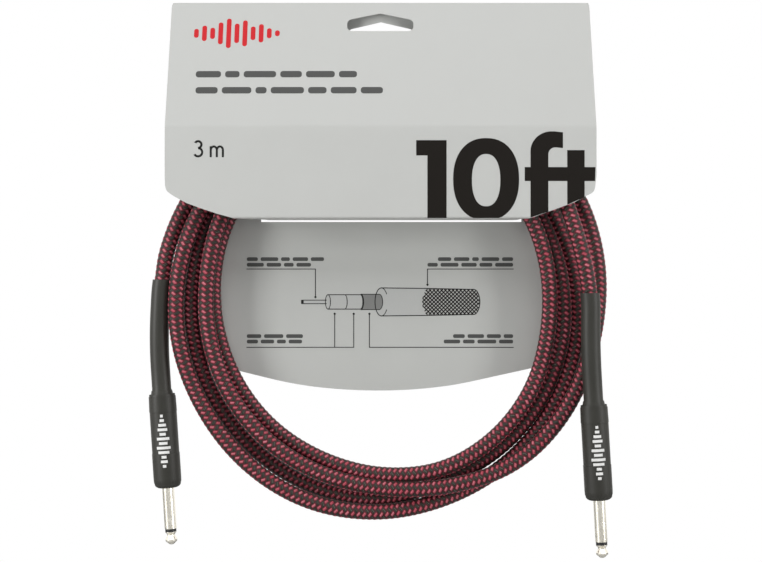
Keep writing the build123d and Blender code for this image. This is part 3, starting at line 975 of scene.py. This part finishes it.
# the length in feet, large: the digits run into the panel's lower edge
LOW = -106.05
zero = [(x, max(z, LOW)) for x, z in oval(37.3, 71.4, -107.3, -64.7, 2.25)]
zero_clean = [zero[0]]
for q in zero[1:]:
    if math.dist(q, zero_clean[-1]) > 0.05:
        zero_clean.append(q)
hook = [(77.3, -105.75), (77.3, -71.5)] + arc_pts(88.2, -71.5, 10.9, 10.3, 172, 96, 10) + [(89.6, -61.2), (94.1, -61.7), (94.1, -69.9)] + \
    [(90.6, -69.5)] + arc_pts(90.0, -73.2, 3.5, 3.7, 100, 178, 6) + [(86.5, -75.0), (86.5, -102.75)]
stem_t = [(96.3, -99.15), (96.3, -70.9), (105.3, -70.9), (105.3, -95.2)]
big = [[(18.2, -65.8), (33.9, -65.8), (33.9, LOW), (24.0, LOW), (24.0, -73.7), (18.2, -73.7)],
       [zero_clean, oval(47.0, 61.7, -100.0, -72.9, 2.3, 40)],
       hook, stem_t,
       [(74.3, -86.9), (74.3, -79.7), (77.35, -79.7), (77.35, -86.9)],
       [(86.45, -86.9), (86.45, -79.7), (96.35, -79.7), (96.35, -86.9)],
       [(105.25, -86.9), (105.25, -79.7), (110.9, -79.7), (110.7, -86.9)]]
ink_piece("print_length_large", big, front_place, MAT["ink_black"], FLAP)

# a plain cut-away drawing of a screened cable on the inner panel
CZ0 = -149.8
fills_pale = [bar(-42.2, -27.0, CZ0 - 0.75, CZ0 + 0.75, 0.1, 2), bar(-29.0, -10.0, CZ0 - 3.9, CZ0 + 3.9, 0.4, 3),
              arc_pts(0.2, CZ0, 3.4, 7.5, 90, 270, 20) + [(24.0, CZ0 - 7.0), (21.5, CZ0), (24.0, CZ0 + 7.0)]]
ink_piece("print_drawing_pale", fills_pale, inner_place, MAT["ink_pale"], ROOT, 0.040)
ink_piece("print_drawing_screen", [[(-9.8, CZ0 - 4.1)] + arc_pts(-0.9, CZ0, 1.8, 4.1, -90, 90, 12) + [(-9.8, CZ0 + 4.1)]],
          inner_place, MAT["ink_mid"], ROOT, 0.060)
ink = [bar(-42.8, -41.4, CZ0 - 1.15, CZ0 + 1.15, 0.4, 3)]
ink += line_strip([(-41.4, CZ0 + 0.95), (-29.3, CZ0 + 0.95)], 0.42) + line_strip([(-41.4, CZ0 - 0.95), (-29.3, CZ0 - 0.95)], 0.42)
ink += [[arc_pts(-28.4, CZ0, 1.55, 4.05, 0, 345, 30), arc_pts(-28.4, CZ0, 1.15, 3.6, 0, 345, 30)]]
for z in (CZ0 - 3.85, CZ0 + 3.85):
    ink += line_strip([(-28.4, z), (-10.0, z)], 0.45)
ink += [thick_arc(-19.4, CZ0, 1.3, 3.85, -90, 90, 0.45), thick_arc(-10.9, CZ0, 1.4, 3.95, -90, 90, 0.95)]
for z in (CZ0 - 4.1, CZ0 + 4.1):
    ink += line_strip([(-10.6, z), (-0.9, z)], 0.42)
ink += [thick_arc(-0.9, CZ0, 1.8, 4.1, -90, 90, 0.42), thick_arc(0.2, CZ0, 3.4, 7.5, 90, 270, 0.5, 24)]
ink += [thick_arc(0.2, CZ0, 3.4, 7.5, 90, 33, 0.45, 10), thick_arc(0.2, CZ0, 3.4, 7.5, -90, -33, 0.45, 10)]
for sgn in (1, -1):
    ink += line_strip([(0.2, CZ0 + 7.5 * sgn), (26.0, CZ0 + 7.2 * sgn), (49.6, CZ0 + 6.7 * sgn)], 0.5)
ink += [thick_arc(49.6, CZ0, 3.3, 6.7, -90, 90, 0.5, 18)]
pitch = 2.05
for sgn in (1, -1):
    k = 0
    while k < 24:
        # 45 degree lines clipped to the braid's area
        c = 14.0 + k * pitch
        pts = []
        for w in np.linspace(-6.6, 6.6, 23):
            x = c + w
            right = 49.6 + 3.2 * math.sqrt(max(0.0, 1 - (w / 6.7) ** 2))
            left = 21.6 + 2.4 * (abs(w) / 6.6)
            if left <= x <= right:
                pts.append((x, CZ0 + sgn * w))
        if len(pts) > 1:
            ink += line_strip([pts[0], pts[-1]], 0.62)
        k += 1
leaders = [[(-71.8, -132.2), (-35.1, -132.2), (-35.1, -146.9)], [(70.8, -132.2), (24.9, -132.2), (24.9, -140.2)],
           [(-71.8, -174.1), (-14.6, -174.1), (-14.6, -156.6)], [(-24.8, -174.1), (-24.8, -156.6)],
           [(70.8, -174.1), (-6.2, -174.1), (-6.2, -156.6)]]
for pts in leaders:
    ink += line_strip(pts, 0.42)
for x, z in ((-35.1, -147.2), (24.9, -140.6), (-14.6, -156.2), (-24.8, -156.2), (-6.2, -156.2)):
    ink.append([(x - 0.75, z), (x, z - 0.75), (x + 0.75, z), (x, z + 0.75)])
ink_piece("print_drawing_lines", ink, inner_place, MAT["ink_text"], ROOT, 0.080)
caps = word_bars(-71.8, -30.5, -127.9, -125.9, [5, 8, 4, 7, 6], 1.5) + word_bars(-71.8, -37.5, -130.9, -128.9, [7, 6, 4, 6], 1.5)
caps += word_bars(30.5, 70.7, -127.9, -125.9, [6, 7, 3, 8, 5], 1.5) + word_bars(24.9, 70.7, -130.9, -128.9, [4, 7, 6, 5, 7], 1.5)
caps += word_bars(-71.8, -41.8, -169.1, -167.1, [6, 8, 7], 1.5) + word_bars(-71.8, -42.3, -172.0, -170.0, [5, 6, 4, 6], 1.5)
caps += word_bars(38.6, 70.7, -169.1, -167.1, [5, 7, 6, 4], 1.5) + word_bars(33.6, 70.7, -172.0, -170.0, [7, 5, 8, 6], 1.5)
ink_piece("print_captions", caps, inner_place, MAT["ink_grey"], ROOT, 0.050)


def boot_mark(src, tip, lean, s0, s1, bars, suffix):
    """White level bars across the boot's front, laid on its real surface."""
    bm = bmesh.new()
    bm.from_mesh(src.data)
    bm.transform(src.matrix_world)
    tree = BVHTree.FromBMesh(bm)
    bm.free()
    up = (-math.sin(math.radians(lean)), math.cos(math.radians(lean)))
    side = (up[1], -up[0])

    def place(a, s, d):
        x = tip[0] + up[0] * s + side[0] * a
        z = tip[2] + up[1] * s + side[1] * a
        hit, normal, _, _ = tree.ray_cast(Vector((x, tip[1] - 40.0, z)) * MM, Vector((0, 1, 0)))
        if hit is None:
            raise ValueError("boot mark off its boot")
        q = (hit + normal * (d * MM)) / MM
        return (q.x, q.y, q.z)

    shapes = []
    n = len(bars)
    for k, v in enumerate(bars):
        s = s0 + (s1 - s0) * (k + 0.5) / n
        half, w = 3.6 * v, (s1 - s0) / n * 0.30
        cells = 6
        xs = np.linspace(-half, half, cells + 1)
        for a, b in zip(xs[:-1], xs[1:]):
            shapes.append([(a, s - w), (b, s - w), (b, s + w), (a, s + w)])
    return ink_piece("print_boot_mark_" + suffix, shapes, place, MAT["ink_white"], ROOT, 0.05)


BOOT_LEVELS = [0.25, 0.5, 0.36, 0.8, 1.0, 0.62, 0.9, 0.45, 0.7, 0.55, 0.32, 0.2]
boot_mark(BOOT_A, (-110.8, -9.0, -278.0), 3.70, 41.05, 69.85, BOOT_LEVELS, "a")
boot_mark(BOOT_B, (115.2, -23.0, -282.6), 3.27, 41.05, 69.85, BOOT_LEVELS, "b")


# ------------------------------------------------------------------ CAD nodes' finishes
FINISH = {
    "tip_rod": "nickel", "shaft_sleeve": "nickel", "tip_insulator": "insul_black", "core_insulator": "insul_black",
    "rear_washer": "insul_white", "tip_lug": "brass", "ground_lug": "brass", "barrel_shell": "shell",
    "barrel_liner": "liner", "heat_shrink_boot": "boot", "solder_tip": "solder", "solder_ground": "solder",
    "conductor_end": "copper", "core_insulation_end": "insul_white", "shield_tail": "copper",
}
for name, obj in NODES.items():
    base = name[:-2] if name.endswith(("_a", "_b")) else name
    if base in FINISH:
        if obj.data.materials:
            for k in range(len(obj.material_slots)):
                obj.material_slots[k].material = MAT[FINISH[base]]
        else:
            obj.data.materials.append(MAT[FINISH[base]])


# ------------------------------------------------------------------ surroundings
def emission(name, colour, strength):
    m = bpy.data.materials.new(name)
    m.use_nodes = True
    m.node_tree.nodes.clear()
    o = m.node_tree.nodes.new("ShaderNodeOutputMaterial")
    e = m.node_tree.nodes.new("ShaderNodeEmission")
    e.inputs[0].default_value = (*colour, 1)
    e.inputs[1].default_value = strength
    m.node_tree.links.new(e.outputs[0], o.inputs[0])
    return m


def area(name, place, target, size, power, colour=(1, 1, 1), size_y=None):
    d = bpy.data.lights.new(name, "AREA")
    d.energy, d.color = power, colour
    d.shape = "RECTANGLE"
    d.size, d.size_y = size, size_y or size
    o = bpy.data.objects.new(name, d)
    scene.collection.objects.link(o)
    o.location = place
    o.rotation_euler = (Vector(target) - Vector(place)).to_track_quat("-Z", "Y").to_euler()
    return o


floor_mat = plastic_material("studio_floor", (0.9, 0.9, 0.9), 0.6)
fv = [(-2.2, -2.4, -0.5), (2.2, -2.4, -0.5), (2.2, 1.0, -0.5), (-2.2, 1.0, -0.5)]
floor = new_object("studio_floor", fv, [(0, 1, 2, 3)], floor_mat, None, smooth=False)

world = bpy.data.worlds.new("studio")
scene.world = world
world.use_nodes = True
wn = world.node_tree
wn.nodes.clear()
wo = wn.nodes.new("ShaderNodeOutputWorld")
bg = wn.nodes.new("ShaderNodeBackground")
bg.inputs[0].default_value = (1.0, 1.0, 1.0, 1)
bg.inputs[1].default_value = 1.0
lp = wn.nodes.new("ShaderNodeLightPath")
soft = wn.nodes.new("ShaderNodeBackground")
soft.inputs[0].default_value = (1.0, 1.0, 1.0, 1)
soft.inputs[1].default_value = 0.03
mirror = wn.nodes.new("ShaderNodeBackground")
mirror.inputs[0].default_value = (1.0, 0.99, 0.97, 1)
mirror.inputs[1].default_value = 1.0
mix_a = wn.nodes.new("ShaderNodeMixShader")
mix_b = wn.nodes.new("ShaderNodeMixShader")
wn.links.new(lp.outputs["Is Glossy Ray"], mix_a.inputs[0])
wn.links.new(soft.outputs[0], mix_a.inputs[1])
wn.links.new(mirror.outputs[0], mix_a.inputs[2])
wn.links.new(lp.outputs["Is Camera Ray"], mix_b.inputs[0])
wn.links.new(mix_a.outputs[0], mix_b.inputs[1])
wn.links.new(bg.outputs[0], mix_b.inputs[2])
wn.links.new(mix_b.outputs[0], wo.inputs[0])

area("side_left", (-1.15, -0.66, -0.02), (0.0, 0, -0.14), 0.32, 9.6, (1.0, 1.0, 0.99), 0.60)
area("side_right", (1.15, -0.66, -0.02), (0.0, 0, -0.14), 0.32, 5.9, (1.0, 1.0, 0.99), 0.60)
area("top_soft", (0.0, -0.75, 1.0), (0, 0, -0.14), 0.9, 7.6, (1.0, 1.0, 1.0), 0.60)
area("top_right", (0.85, -0.75, 0.55), (0, 0, -0.14), 0.5, 1.0, (1.0, 1.0, 1.0), 0.50)

scene.view_settings.view_transform = "Standard"
scene.view_settings.look = "None"
scene.view_settings.exposure = 0.0
scene.view_settings.gamma = 1.0
